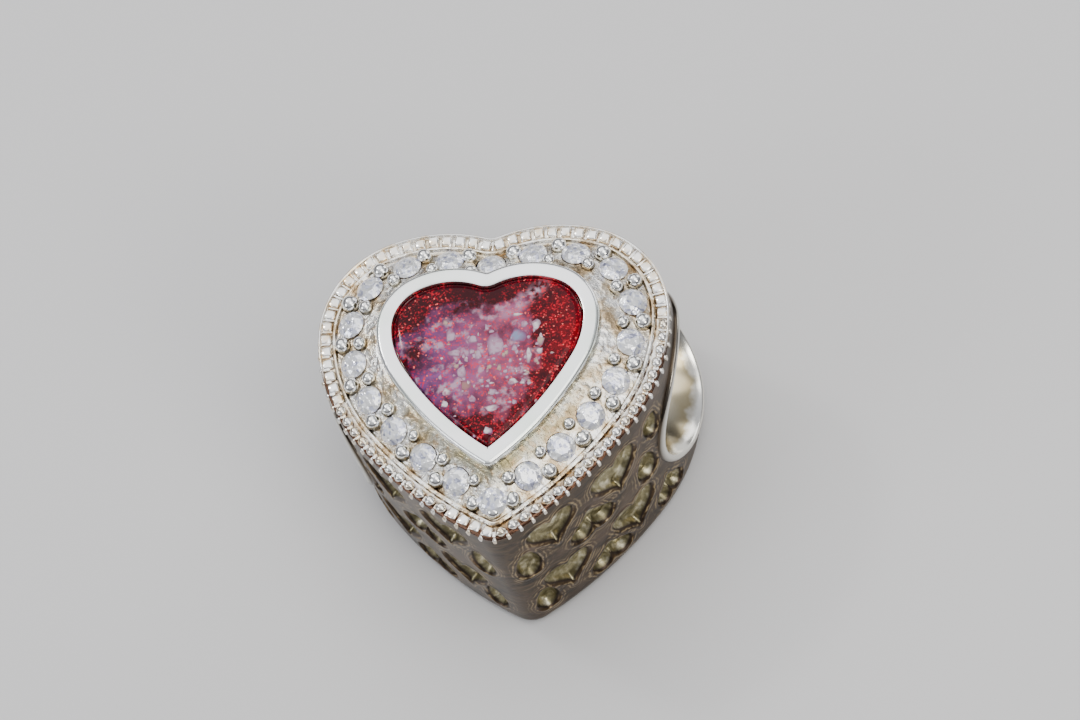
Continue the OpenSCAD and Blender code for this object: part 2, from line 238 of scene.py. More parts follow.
def heart_shape(w, h):
    """A recess's heart, from its centre, in millimetres along and up the wall."""
    t = np.radians(np.arange(0, 360, 6))
    height = 13 * np.cos(t) - 5 * np.cos(2 * t) - 2 * np.cos(3 * t) - np.cos(4 * t) + 2.5
    return np.stack([w / 2 * np.sin(t) ** 3, h / 29 * height], axis=1)


def oval_shape(w, h):
    """A recess's oval."""
    t = np.radians(np.arange(0, 360, 10))
    return np.stack([w / 2 * np.cos(t), h / 2 * np.sin(t)], axis=1)


def drop_shape(w, h):
    """A recess's drop, narrower at its top."""
    t = np.radians(np.arange(0, 360, 8))
    return np.stack([w / 2 * np.sin(t) * (1 - 0.35 * np.cos(t)), h / 2 * np.cos(t)], axis=1)


def turned_shape(w, h):
    """A recess's heart, upside down."""
    return -heart_shape(w, h)


def depth_inside(x, y, outline):
    """How far points lie inside a closed outline, in millimetres. Outside it is negative."""
    nearest = np.full(x.shape, 1e9)
    inside = np.zeros(x.shape, bool)
    for (ax, ay), (bx, by) in zip(outline, np.roll(outline, -1, axis=0)):
        dx, dy = bx - ax, by - ay
        t = np.clip(((x - ax) * dx + (y - ay) * dy) / (dx * dx + dy * dy + 1e-12), 0, 1)
        nearest = np.minimum(nearest, np.hypot(x - ax - t * dx, y - ay - t * dy))
        crosses = (ay > y) != (by > y)
        inside ^= crosses & (x < (bx - ax) * (y - ay) / (by - ay + 1e-12) + ax)
    return np.where(inside, nearest, -nearest)


# Each recess of one half: place along the wall from the tip, way down from the rim, shape, width, height
relief = [
    (0.70, 3.05, drop_shape, 0.90, 1.90),
    (0.80, 6.20, drop_shape, 0.80, 1.60),
    (1.93, 1.95, heart_shape, 1.95, 2.05),
    (1.88, 5.50, heart_shape, 1.90, 2.00),
    (3.33, 3.27, turned_shape, 1.95, 1.80),
    (3.55, 6.40, turned_shape, 1.85, 1.60),
    (4.78, 2.12, heart_shape, 2.15, 2.30),
    (4.95, 5.70, heart_shape, 2.05, 2.15),
    (6.05, 3.65, drop_shape, 0.95, 1.70),
    (6.83, 1.75, oval_shape, 0.85, 1.40),
    (6.65, 6.40, turned_shape, 1.50, 1.60),
    (13.15, 1.75, oval_shape, 0.85, 1.40),
    (13.30, 6.40, turned_shape, 1.50, 1.60),
    (13.95, 3.65, drop_shape, 0.95, 1.70),
    (15.05, 5.70, heart_shape, 2.05, 2.15),
    (15.22, 2.12, heart_shape, 2.15, 2.30),
    (16.45, 6.40, turned_shape, 1.60, 1.60),
    (16.67, 3.27, turned_shape, 1.80, 1.80),
]
half_length = heart_walk(RIM_HEART, 0, 0)[4]
wall_columns = 2 * round(half_length / grid_step)
from_notch = np.linspace(0, 2 * half_length, wall_columns, endpoint=False)
on_left = from_notch < half_length
from_tip = np.abs(half_length - from_notch)
wall_rows = [(back_round + back_round * math.sin(a), back_round - back_round * math.cos(a))
             for a in np.radians(np.linspace(-90, 0, 7))]
straight_rows = round((wall_top - back_round) / grid_step)
wall_rows += [(z, 0) for z in np.linspace(back_round, wall_top, straight_rows)[1:]]
wall_rings, recess_depths = [], []
for z, inset in wall_rows:
    length = heart_walk(RIM_HEART, inset, 0)[4]
    x, y, nx, ny, _ = heart_walk(RIM_HEART, inset, (half_length - from_tip) * length / half_length)
    side = np.where(on_left, -1, 1)
    deepest = np.full(wall_columns, -relief_reach)
    if inset == 0:
        for along, below_rim, shape, w, h in relief:
            height = z - (rim_z - below_rim)
            if abs(height) < h / 2 + relief_reach:
                near = from_tip - along - np.where(on_left, left_shift, 0)
                inside = depth_inside(near, np.full(wall_columns, height), shape(w, h))
                deepest = np.maximum(deepest, inside)
        deepest = np.minimum(deepest, np.hypot(y - bore_y, z - bore_z) - mouth_clear)
    slope = np.clip(deepest / relief_slope, 0, 1)
    uneven = (np.sin(4.3 * from_notch + 1.7 * z) + np.sin(3.1 * z - 3.7 * from_notch)
              + np.sin(6.1 * z + from_notch))
    sink = (relief_depth + unevenness * uneven) * slope * slope * (3 - 2 * slope)
    sink -= raised_edge * np.exp(-((deepest + edge_place) / edge_width) ** 2)
    for _ in range(2):
        sink = (np.roll(sink, 1) + 2 * sink + np.roll(sink, -1)) / 4
    wall_rings.append(np.stack([side * (x - nx * sink), y - ny * sink, np.full(wall_columns, z)], axis=1))
    recess_depths.append(deepest)
heart_wall = wrap_sheet("heart_wall", wall_rings, marks=recess_depths)

tube_r = 2.8
clearance = 0.03


def cut_away(piece, cutter):
    """Cuts a solid out of a piece, and removes the solid."""
    bpy.ops.object.select_all(action="DESELECT")
    piece.select_set(True)
    bpy.context.view_layer.objects.active = piece
    cut = piece.modifiers.new("cut", "BOOLEAN")
    cut.object = cutter
    cut.solver = "EXACT"
    bpy.ops.object.modifier_apply(modifier=cut.name)
    bpy.data.objects.remove(cutter)


def smooth_below(piece, degrees):
    """Shades a piece smooth except at edges sharper than an angle."""
    bpy.ops.object.select_all(action="DESELECT")
    piece.select_set(True)
    bpy.context.view_layer.objects.active = piece
    bpy.ops.object.shade_smooth_by_angle(angle=math.radians(degrees), keep_sharp_edges=False)


bpy.ops.object.select_all(action="DESELECT")
bpy.ops.mesh.primitive_cylinder_add(vertices=96, radius=(tube_r + clearance) * MM,
                                    depth=(RIM_HEART[0] + 2) * MM,
                                    location=(0, bore_y * MM, bore_z * MM), rotation=(0, math.pi / 2, 0))
cut_away(heart_wall, bpy.context.object)
smooth_below(heart_wall, 40)


def add_node(tree, kind, inputs=None, **settings):
    """A node with its settings, its values and its links."""
    node = tree.nodes.new(kind)
    for key, value in settings.items():
        setattr(node, key, value)
    for key, value in (inputs or {}).items():
        if isinstance(value, bpy.types.NodeSocket):
            tree.links.new(value, node.inputs[key])
        else:
            node.inputs[key].default_value = value
    return node


def reckon(tree, operation, *values):
    """The result of one sum on numbers or sockets."""
    return add_node(tree, "ShaderNodeMath", dict(enumerate(values)), operation=operation).outputs[0]


def times(tree, first, second):
    return reckon(tree, "MULTIPLY", first, second)


def plus(tree, first, second):
    return reckon(tree, "ADD", first, second)


def times_plus(tree, first, second, third):
    """The first times the second, plus the third."""
    return reckon(tree, "MULTIPLY_ADD", first, second, third)


def blend_colours(tree, share, first, second):
    """The first colour, with a share of the second over it."""
    mix = add_node(tree, "ShaderNodeMix", {0: share, 6: first, 7: second}, data_type="RGBA")
    return mix.outputs[2]


def shade_of(tree, value, *stops):
    """A colour that runs through stops, each a place from 0 to 1 and a colour."""
    ramp = add_node(tree, "ShaderNodeValToRGB", {"Fac": value})
    while len(ramp.color_ramp.elements) < len(stops):
        ramp.color_ramp.elements.new(0.5)
    for element, (place, colour) in zip(ramp.color_ramp.elements, stops):
        element.position = place
        element.color = (*colour, 1)
    return ramp.outputs["Color"]


def ramp_up(tree, value, low, high):
    """A number that rises from 0 to 1 as a value goes from low to high."""
    ends = {"Value": value, "From Min": low, "From Max": high}
    return add_node(tree, "ShaderNodeMapRange", ends).outputs["Result"]


def noise_on(tree, where, scale, detail, distortion=0.0):
    """A cloudy number that changes from place to place on a piece."""
    look = {"Vector": where, "Scale": scale, "Detail": detail, "Distortion": distortion}
    return add_node(tree, "ShaderNodeTexNoise", look).outputs["Fac"]


def mark_on(tree):
    """The number that a piece's mesh holds for each point."""
    return add_node(tree, "ShaderNodeAttribute", attribute_name="mark").outputs["Fac"]


def colour_on(tree, shader, colour):
    """Gives a finish its colour."""
    tree.links.new(colour, shader.inputs["Base Color"])


def bump_on(tree, shader, height, strength, depth):
    """Makes a finish uneven by a height, over a depth in millimetres."""
    bump = add_node(tree, "ShaderNodeBump", {"Height": height, "Strength": strength, "Distance": depth * MM})
    tree.links.new(bump.outputs["Normal"], shader.inputs["Normal"])


def finish_on(piece, name, metallic, roughness):
    """A new finish on a piece: its node tree, its shader, and places on the piece in millimetres."""
    finish = bpy.data.materials.new(name)
    finish.use_nodes = True
    tree = finish.node_tree
    shader = tree.nodes["Principled BSDF"]
    shader.inputs["Metallic"].default_value = metallic
    shader.inputs["Roughness"].default_value = roughness
    places = add_node(tree, "ShaderNodeTexCoord").outputs["Object"]
    scaled = add_node(tree, "ShaderNodeMapping", {"Vector": places, "Scale": (1000, 1000, 1000)})
    piece.data.materials.clear()
    piece.data.materials.append(finish)
    return tree, shader, scaled.outputs["Vector"]


tree, shader, place = finish_on(heart_wall, "oxidised_silver", 0.85, 0.33)
mark = mark_on(tree)
cloud = noise_on(tree, place, 0.8, 5.0)
stretched = add_node(tree, "ShaderNodeMapping", {"Vector": place, "Scale": (0.9, 0.9, 2.2)})
streak = noise_on(tree, stretched.outputs["Vector"], 1.6, 5.0, 0.8)
grain = noise_on(tree, place, 8.0, 4.0)
swirl = times_plus(tree, mark, 42.0, times(tree, cloud, 34.0))
lines = reckon(tree, "POWER", times_plus(tree, reckon(tree, "SINE", swirl), 0.5, 0.5), 2.0)
near_recess = times(tree, ramp_up(tree, mark, -0.5, -0.15), ramp_up(tree, streak, 0.34, 0.5))
engraved = times(tree, lines, times(tree, near_recess, 0.34))
brushed = plus(tree, engraved, times_plus(tree, streak, 0.6, 0.1))
wall_colour = shade_of(tree, brushed, (0.28, (0.02, 0.012, 0.006)), (0.48, (0.078, 0.049, 0.024)),
                       (0.78, (0.35, 0.26, 0.14)))
warm = times(tree, ramp_up(tree, cloud, 0.5, 0.7), 0.6)
rusty = blend_colours(tree, warm, wall_colour, (0.14, 0.09, 0.06, 1))
patch = noise_on(tree, place, 2.6, 3.0)
floor_tone = plus(tree, times(tree, grain, 0.3), times(tree, patch, 0.7))
floor_colour = shade_of(tree, floor_tone, (0.36, (0.18, 0.155, 0.08)), (0.5, (0.34, 0.3, 0.17)),
                        (0.65, (0.78, 0.72, 0.52)))
# A thin dark line of painted shade runs round each recess at the top of its slope, before the khaki floor.
shaded_recess_edge = blend_colours(tree, ramp_up(tree, mark, -0.015, 0.01), rusty, (0.05, 0.035, 0.025, 1))
colour_on(tree, shader, blend_colours(tree, ramp_up(tree, mark, 0.025, 0.06), shaded_recess_edge, floor_colour))
relief_height = plus(tree, times(tree, brushed, 0.5), times(tree, grain, 0.35))
bump_on(tree, shader, relief_height, 0.22, 0.06)
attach(heart_wall, "root")
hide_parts("silver_body")

# The core tube: a polished silver tube that lines the hole through both side walls. Each mouth opens
# like a trumpet into a rounded lip that is fitted to the curved wall.
bore_r = 2.2
lip_r = 2.95
mouth_r = 2.7
lip_rise = 0.16
lip_round = 0.1
flare_start = 4.16
tube_sides = 96
flare_rings = 12


def wall_reach(y):
    """How far the side wall stands from the middle at a height y of the heart."""
    r = RIM_HEART[2] if y > SHOULDER_Y else RIM_HEART[5]
    return RIM_HEART[0] / 2 - r + np.sqrt(r * r - (y - SHOULDER_Y) ** 2)


def tube_ring(r, out, lip=True):
    """A ring of the tube: its radius, and its way out, counted from the wall if it belongs to the lip."""
    ring = []
    for t in np.linspace(0, 2 * math.pi, tube_sides, endpoint=False):
        y = bore_y + r * math.cos(t)
        ring.append((out + (wall_reach(y) if lip else 0), y, bore_z + r * math.sin(t)))
    return np.array(ring)


mouth_rings = [tube_ring(tube_r, -0.35), tube_ring(tube_r, -clearance),
               tube_ring(lip_r, -clearance), tube_ring(lip_r, lip_rise - lip_round)]
middle, half_width = (lip_r + mouth_r) / 2, (lip_r - mouth_r) / 2
for turn in np.radians(np.linspace(20, 180, 8)):
    mouth_rings.append(tube_ring(middle + half_width * math.cos(turn),
                                 lip_rise - lip_round + lip_round * math.sin(turn)))
lip_edge = mouth_rings[-1][:, 0]
for share in np.linspace(0.92, 0, flare_rings):
    ring = tube_ring(bore_r + (mouth_r - bore_r) * share ** 2, 0, lip=False)
    ring[:, 0] = flare_start + (lip_edge - flare_start) * share
    mouth_rings.append(ring)
other_mouth = [ring * (-1, 1, 1) for ring in mouth_rings[::-1]]
# The marks: 1 where the lip's foot is painted dark, 0 where it is bright, and down to -1 deep in the flare,
# where painted shade makes it darker khaki
foot_of_lip = [1, 1, 1, 1, 0.8, 0.55, 0.25]
flare = list(-np.linspace(0.08, 1, flare_rings))
foot_dark_and_flare_shade = foot_of_lip + [0] * (len(mouth_rings) - len(foot_of_lip) - flare_rings) + flare
collar_marks = [np.full(tube_sides, share) for share in foot_dark_and_flare_shade + foot_dark_and_flare_shade[::-1]]
core_collar = wrap_sheet("core_collar", mouth_rings + other_mouth, True, collar_marks)
smooth_below(core_collar, 50)
tree, shader, place = finish_on(core_collar, "polished_silver", 1.0, 0.2)
cloud = noise_on(tree, place, 1.4, 4.0)
mark = mark_on(tree)
# Deep in the flare the silver is painted darker khaki, as painted shade inside the tube, and the lip's foot
# is painted dark.
deeper = times_plus(tree, mark, -1.1, times_plus(tree, cloud, 0.5, -0.25))
inside_shade_colour = shade_of(tree, deeper, (0.06, (0.93, 0.91, 0.84)), (0.24, (0.36, 0.3, 0.18)),
                         (0.75, (0.5, 0.46, 0.36)))
colour_on(tree, shader, blend_colours(tree, ramp_up(tree, mark, 0, 1), inside_shade_colour, (0.09, 0.07, 0.05, 1)))
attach(core_collar, "root")
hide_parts("core_tube")

# The face: a silver plate soldered on the wall. Its rim has a sunk band for the milgrain and a thin
# smooth rail, and inside the rail its floor rises to the bezel's foot. It has cut seats for the stones.
BEZEL_HEART = (7.6, 3.15, 2.0, 65, 0.15, 3.3, 30, 11, 0.25, 0.32)
band_w, rail_inset = 0.5, 0.66
floor_z = rim_z - 0.05
floor_rise = 0.6
floor_rings = 12
face_steps = (8, 26, 26, 22, 16, 12)
flank_top, flank_fade = 1.6, 1.5
cell_z = rim_z - 0.16


def heart_level(heart, inset, z, steps=face_steps):
    """A heart's outline at one height."""
    ring = heart_ring(heart, inset, steps)
    return np.column_stack([ring, np.full(len(ring), z)])


band_profile = ((0, wall_top - 0.02), (0, wall_top + 0.03), (0, cell_z - 0.05), (0.05, cell_z),
                (band_w - 0.06, cell_z), (band_w - 0.02, rim_z - 0.02), (band_w + 0.03, rim_z + 0.02),
                (band_w + 0.08, rim_z + 0.02), (rail_inset - 0.03, floor_z + 0.02))
face_rings = [heart_level(RIM_HEART, inset, z) for inset, z in band_profile]
channel_outside = heart_level(RIM_HEART, rail_inset, floor_z)
channel_inside = heart_level(BEZEL_HEART, -0.02, floor_z + floor_rise)
for share in np.linspace(0, 1, floor_rings):
    face_rings.append(channel_outside * (1 - share) + channel_inside * share)
face_rings.append(heart_level(BEZEL_HEART, 0.25, floor_z + floor_rise))
# The marks: -1 in the sunk band, painted dark brown as oxide and as shade under the milgrain, less so on the
# lobes, and 0 at the rail to 1 at the bezel's foot
on_flank = np.clip((flank_top - channel_outside[:, 1]) / flank_fade, 0, 1)
face_marks = [mark * (0.45 + 0.55 * on_flank) for mark in (-1, -1, -1, -1, -0.4, 0, 0, 0, 0)]
face_marks += [np.full(len(on_flank), share) for share in np.linspace(0, 1, floor_rings)]
face_marks.append(np.ones(len(on_flank)))
face_plate = wrap_sheet("face_plate", face_rings, marks=face_marks)

stone_count = 20
stone_r = 0.49
row_inset = 1.16
stone_lift = 0.08
seat_depth, seat_drop, seat_point_r = 0.5, 0.28, 0.1
slope_start = 0.62
floor_slope = math.atan2(floor_rise, (RIM_HEART[0] - BEZEL_HEART[0]) / 2 - slope_start)


def floor_at(inset):
    """The height of the face's floor at a distance in from the rim."""
    return floor_z + (inset - slope_start) * math.tan(floor_slope)


def on_face(inset, share, z, side=1):
    """A place on the face, at a share of the way from the notch to the tip, with +X outwards."""
    length = heart_walk(RIM_HEART, inset, 0)[4]
    x, y, nx, ny, _ = (float(v) for v in heart_walk(RIM_HEART, inset, length * share))
    outwards = math.atan2(ny, side * nx)
    return Matrix.Translation(Vector((side * x, y, z)) * MM) @ Matrix.Rotation(outwards, 4, "Z")


def stone_place(i):
    """Where a stone sits, counted from the notch, tilted with the floor."""
    side = 1 if i <= stone_count / 2 else -1
    share = 2 * (i if side > 0 else stone_count - i) / stone_count
    return (on_face(row_inset, share, floor_at(row_inset) + stone_lift, side)
            @ Matrix.Rotation(floor_slope, 4, "Y"))


def join_copies(pattern, places, name):
    """Copies a pattern to places, joins the copies to one piece, and removes the pattern."""
    bpy.ops.object.select_all(action="DESELECT")
    for where in places:
        copy = pattern.copy()
        copy.data = pattern.data.copy()
        copy.data.transform(where)
        bpy.context.scene.collection.objects.link(copy)
        copy.select_set(True)
        bpy.context.view_layer.objects.active = copy
    bpy.ops.object.join()
    bpy.data.objects.remove(pattern)
    joined = bpy.context.object
    joined.name = name
    joined.data.name = name
    return joined


bpy.ops.object.select_all(action="DESELECT")
bpy.ops.mesh.primitive_cone_add(vertices=24, radius1=seat_point_r * MM,
                                radius2=(stone_r + clearance) * MM, depth=seat_depth * MM)
seat_cutter = bpy.context.object
bpy.ops.object.mode_set(mode="EDIT")
bpy.ops.mesh.select_mode(type="FACE")
bpy.ops.mesh.select_all(action="DESELECT")
bpy.ops.object.mode_set(mode="OBJECT")
top_face = max(seat_cutter.data.polygons, key=lambda face: face.center.z)
top_face.select = True
bpy.ops.object.mode_set(mode="EDIT")
bpy.ops.mesh.extrude_region_move(TRANSFORM_OT_translate={"value": (0, 0, seat_depth * MM)})
bpy.ops.object.mode_set(mode="OBJECT")
seat_cutter.data.transform(Matrix.Translation((0, 0, -seat_drop * MM)))
cut_away(face_plate, join_copies(seat_cutter, [stone_place(i) for i in range(stone_count)], "seats"))
smooth_below(face_plate, 35)
tree, shader, place = finish_on(face_plate, "pave_silver", 1.0, 0.24)
mark = mark_on(tree)
cloud = noise_on(tree, place, 1.5, 6.0)
pits = noise_on(tree, place, 4.5, 4.0)
up = add_node(tree, "ShaderNodeSeparateXYZ", {"Vector": place}).outputs["Y"]
lower = times(tree, ramp_up(tree, up, 1.0, -3.0), ramp_up(tree, mark, 0.35, 0.95))
silver_tone = shade_of(tree, cloud, (0.42, (1, 0.98, 0.93)), (0.52, (0.93, 0.83, 0.66)),
                       (0.63, (0.5, 0.37, 0.22)))
olive = blend_colours(tree, times(tree, lower, 0.85), silver_tone, (0.24, 0.21, 0.1, 1))
# The sunk band under the milgrain is painted dark brown, partly as oxide and partly as painted shade between
# the beads, less so on the lobes.
brown = blend_colours(tree, ramp_up(tree, mark, -0.35, -0.75), olive, (0.11, 0.052, 0.03, 1))
stained = times(tree, ramp_up(tree, pits, 0.52, 0.66), ramp_up(tree, mark, -0.3, 0.1))
colour_on(tree, shader, blend_colours(tree, times(tree, stained, 0.7), brown, (0.4, 0.27, 0.14, 1)))
rough = plus(tree, pits, times(tree, cloud, 1.2))
bump_on(tree, shader, rough, 0.55, 0.1)
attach(face_plate, "root")
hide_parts("silver_body")

# The milgrain: cells rolled into the rim. Between thin cross ribs, whose ends stand out of the wall
# as small fins, lies one shiny bead each, or a flat cushion where the rim is worn and on the lobes.
# A thin rail, drawn along the rim's outer edge, closes the cells.
rib_count = 76
rib_length, rib_width, rib_depth = 0.58, 0.125, 0.26
fin_end = 0.12
bead_size = (0.18, 0.2, 0.17)
cushion_length, cushion_width, cushion_depth = 0.4, 0.38, 0.18


def mark_heights(piece, r):
    """Stores each point's height as a share of a radius, for the piece's finish to read."""
    layer = piece.data.attributes.new("mark", "FLOAT", "POINT")
    layer.data.foreach_set("value", [vertex.co.z / (r * MM) for vertex in piece.data.vertices])


def domed_bead(segments, ring_count, foot):
    """A bead with a radius of 1 mm, cut flat below its middle and spread there to a foot."""
    bpy.ops.object.select_all(action="DESELECT")
    bpy.ops.mesh.primitive_uv_sphere_add(segments=segments, ring_count=ring_count, radius=MM)
    dome = bpy.context.object
    bpy.ops.object.mode_set(mode="EDIT")
    bpy.ops.mesh.select_all(action="SELECT")
    base = (0, 0, -0.55 * MM)
    bpy.ops.mesh.bisect(plane_co=base, plane_no=(0, 0, -1), use_fill=True, clear_outer=True)
    bpy.ops.transform.resize(value=(foot, foot, 1), center_override=base)
    bpy.ops.object.mode_set(mode="OBJECT")
    return dome


def rounded_block(length, width, depth, rounding):
    """A block round the origin, in millimetres, with rounded edges."""
    bpy.ops.object.select_all(action="DESELECT")
    bpy.ops.mesh.primitive_cube_add(size=1)
    block = bpy.context.object
    block.data.transform(Matrix.Diagonal((length * MM, width * MM, depth * MM, 1)))
    bpy.ops.object.mode_set(mode="EDIT")
    bpy.ops.mesh.select_all(action="SELECT")
    bpy.ops.mesh.bevel(offset=rounding * MM, segments=2)
    bpy.ops.object.mode_set(mode="OBJECT")
    return block


# A rib droops at both ends: its fin is shortened and lowered, and its inner end dips a little
rib = rounded_block(rib_length, rib_width, rib_depth, 0.035)
rib.data.transform(Matrix.Translation(((fin_end - rib_length / 2) * MM, 0, -rib_depth / 2 * MM)))
for vertex in rib.data.vertices:
    if vertex.co.x > 0:
        vertex.co.x *= 0.8
        vertex.co.z -= 0.07 * MM
    elif vertex.co.x < -0.2 * MM:
        vertex.co.z -= 0.05 * MM
rib_marks = rib.data.attributes.new("mark", "FLOAT", "POINT")
rib_marks.data.foreach_set("value", [-1.0] * len(rib.data.vertices))
bead = domed_bead(12, 8, 1.1)
mark_heights(bead, -1)
cushion = rounded_block(cushion_length, cushion_width, cushion_depth, 0.06)
for vertex in cushion.data.vertices:
    if vertex.co.z > 0:
        vertex.co.x *= 0.92
        vertex.co.y *= 0.92
mark_heights(cushion, -cushion_depth / 2)
rib_places, bead_places, cushion_places = [], [], []


def rim_place(inset, i, z):
    """A place on the rim, counted in milgrain cells round it from the notch."""
    side = 1 if i <= rib_count / 2 else -1
    return on_face(inset, 2 * (i if side > 0 else rib_count - i) / rib_count, z, side)


# Cells are counted from the notch down the right half and up the left, where they are worn near the
# tip and along the upper flank. On the lobes the ribs are thin and whole, and on the flanks they are
# shortened towards their fins.
lobe_cells, fading_cells, lobe_cushions = 20, 6, 17
worn_to, worn_from = 42, 54
for i in range(rib_count):
    lobe = min(max((lobe_cells - min(i, rib_count - i)) / fading_cells, 0), 1)
    rib_places.append(rim_place(0, i, rim_z + 0.01)
                      @ Matrix.Translation(((fin_end - 0.02 - 0.09 * lobe) * MM, 0, 0))
                      @ Matrix.Diagonal((0.62 + 0.38 * lobe, 1 - 0.45 * lobe, 1, 1))
                      @ Matrix.Translation((-fin_end * MM, 0, 0)))
    middle = i + 0.5
    on_lobe = min(middle, rib_count - middle) < lobe_cushions
    worn = middle > worn_from or rib_count / 2 < middle < worn_to
    if on_lobe or worn:
        cushion_places.append(rim_place(band_w / 2, middle, rim_z - 0.12)
                              @ Matrix.Rotation(0.06 * math.sin(5.1 * i), 4, "X")
                              @ Matrix.Rotation(0.08 * math.sin(3.7 * i), 4, "Y"))
    else:
        bead_places.append(rim_place(0.2, middle, rim_z - 0.05) @ Matrix.Diagonal((*bead_size, 1)))
ribs = join_copies(rib, rib_places, "milgrain_ribs")
smooth_below(ribs, 50)
beads = join_copies(bead, bead_places, "milgrain_beads")
smooth_below(beads, 180)
cushions = join_copies(cushion, cushion_places, "milgrain_cushions")
smooth_below(cushions, 60)
rail_r = 0.045
rail_rings = []
for turn in np.radians(np.arange(0, 360, 45)):
    ring = heart_level(RIM_HEART, rail_r + rail_r * math.cos(turn), rim_z - 0.02 - rail_r * math.sin(turn))
    ring[:, 2] -= 0.07 * on_flank
    rail_rings.append(ring)
outer_rail = wrap_sheet("outer_rail", rail_rings, True, [on_flank - 0.4] * len(rail_rings))
smooth_below(outer_rail, 180)
for piece in (ribs, beads, cushions, outer_rail):
    tree, shader, place = finish_on(piece, "bright_" + piece.name, 1.0, 0.14)
    cloud = noise_on(tree, place, 2.5, 3.0)
    bright = shade_of(tree, cloud, (0.45, (0.97, 0.95, 0.91)), (0.68, (0.84, 0.7, 0.5)))
    # Beads and cushions are painted dark towards their foot, as painted shade. The outer rail is painted
    # dark along the flanks, and the ribs stay bright.
    dark = ramp_up(tree, mark_on(tree), -0.15, 0.25)
    colour_on(tree, shader, blend_colours(tree, dark, bright, (0.13, 0.07, 0.045, 1)))
    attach(piece, "root")
    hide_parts("silver_body")

# The bezel: a thick silver band bent to a heart, soldered on the face, filed flat on top and polished.
# It holds the resin like a cup.
bezel_z = rim_z + 1.1
bezel_w = 0.57
bezel_foot = floor_z + floor_rise - 0.1
bezel_steps = (6, 30, 34, 26, 20, 8)
bezel_profile = ((0, bezel_foot), (0, bezel_z - 0.16), (0.02, bezel_z - 0.07), (0.07, bezel_z - 0.015),
                 (0.14, bezel_z), (bezel_w - 0.12, bezel_z), (bezel_w - 0.04, bezel_z - 0.02),
                 (bezel_w, bezel_z - 0.08), (bezel_w, bezel_z - 0.5), (bezel_w - 0.1, bezel_z - 0.6),
                 (0.1, bezel_foot))
bezel_rings = [heart_level(BEZEL_HEART, inset, z, bezel_steps) for inset, z in bezel_profile]
bezel = wrap_sheet("bezel", bezel_rings, closed_tube=True)
smooth_below(bezel, 40)
tree, shader, place = finish_on(bezel, "bright_bezel", 1.0, 0.2)
cloud = noise_on(tree, place, 0.6, 2.0)
colour_on(tree, shader, shade_of(tree, cloud, (0.4, (0.99, 0.99, 0.98)), (0.7, (0.86, 0.92, 0.84))))
scratches = noise_on(tree, place, 9.0, 4.0)
bump_on(tree, shader, scratches, 0.06, 0.05)
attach(bezel, "root")
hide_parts("silver_body")

# The resin: clear deep red casting resin poured into the bezel, with fine red glitter in it and a pinkish
# wash of reflected light painted into its colour. It sets with a low dome that curves down to the bezel all
# round.
resin_inset = bezel_w + 0.03
resin_steps = (8, 30, 34, 26, 20, 8)
dome_rise, dome_edge_rise = 0.05, 0.03
resin_profile = ((0, -0.55), (0, -0.15), (0.02, -0.1), (0.06, -0.06), (0.12, -0.025), (0.2, 0),
                 (0.3, 0.018), (0.42, dome_edge_rise))
resin_rings = [heart_level(BEZEL_HEART, resin_inset + inset, bezel_z + rise, resin_steps)
               for inset, rise in resin_profile]
dome_centre = np.array((0, 0.1, bezel_z + dome_rise))
dome_edge = resin_rings[-1]
for share in (0.85, 0.7, 0.55, 0.4, 0.25, 0.12, 0.03):
    ring = dome_centre + (dome_edge - dome_centre) * share
    ring[:, 2] = bezel_z + dome_edge_rise + (dome_rise - dome_edge_rise) * (1 - share ** 2)
    resin_rings.append(ring)
resin_dome = wrap_sheet("resin_dome", resin_rings)
smooth_below(resin_dome, 60)


def clear_coat(shader, roughness):
    """The thin glossy skin of set resin."""
    for name, value in (("Specular IOR Level", 0.05), ("Coat Weight", 0.35), ("Coat Roughness", roughness),
                        ("Coat IOR", 1.35)):
        shader.inputs[name].default_value = value


tree, shader, place = finish_on(resin_dome, "red_resin", 0.0, 0.08)
spot = add_node(tree, "ShaderNodeSeparateXYZ", {"Vector": place})
across, up = spot.outputs["X"], spot.outputs["Y"]
broad_noise = noise_on(tree, place, 0.9, 5.0, 0.6)
fine_noise = noise_on(tree, place, 4.0, 4.0)
# The pink wash of painted reflection lies round the middle and ends on the right, and a painted streak of
# reflection leaves it to the upper right
along_x = times(tree, plus(tree, across, 0.45), 0.38)
along_y = times(tree, times_plus(tree, across, -0.1, plus(tree, up, -0.4)), 0.5)
from_middle = plus(tree, times(tree, along_x, along_x), times(tree, along_y, along_y))
pink_wash = times_plus(tree, from_middle, -0.28, plus(tree, broad_noise, times(tree, fine_noise, 0.3)))
pink_wash = times_plus(tree, ramp_up(tree, across, 1.3, 2.1), -0.25, pink_wash)
from_streak = reckon(tree, "ABSOLUTE", times_plus(tree, across, -0.71, plus(tree, up, -1.5)))
streak_length = times(tree, ramp_up(tree, across, 0.1, 1.0), ramp_up(tree, across, 2.3, 1.8))
reflection_streak = times(tree, ramp_up(tree, from_streak, 0.5, 0.05), streak_length)
pink_wash = times_plus(tree, reflection_streak, 0.35, pink_wash)
wash_colour = blend_colours(tree, ramp_up(tree, across, -2.2, 0.2), (0.2, 0.075, 0.24, 1),
                            (0.36, 0.1, 0.2, 1))
# The clear resin is gloomy by the notch, where there is little glitter, and redder to the right, where a
# glow of light through the resin is painted in
from_notch_x = reckon(tree, "ABSOLUTE", plus(tree, across, 0.3))
gloom = times(tree, ramp_up(tree, up, 1.4, 2.3), ramp_up(tree, from_notch_x, 1.8, 0.7))
murk = times_plus(tree, fine_noise, 0.6, times_plus(tree, broad_noise, 0.7, -0.17))
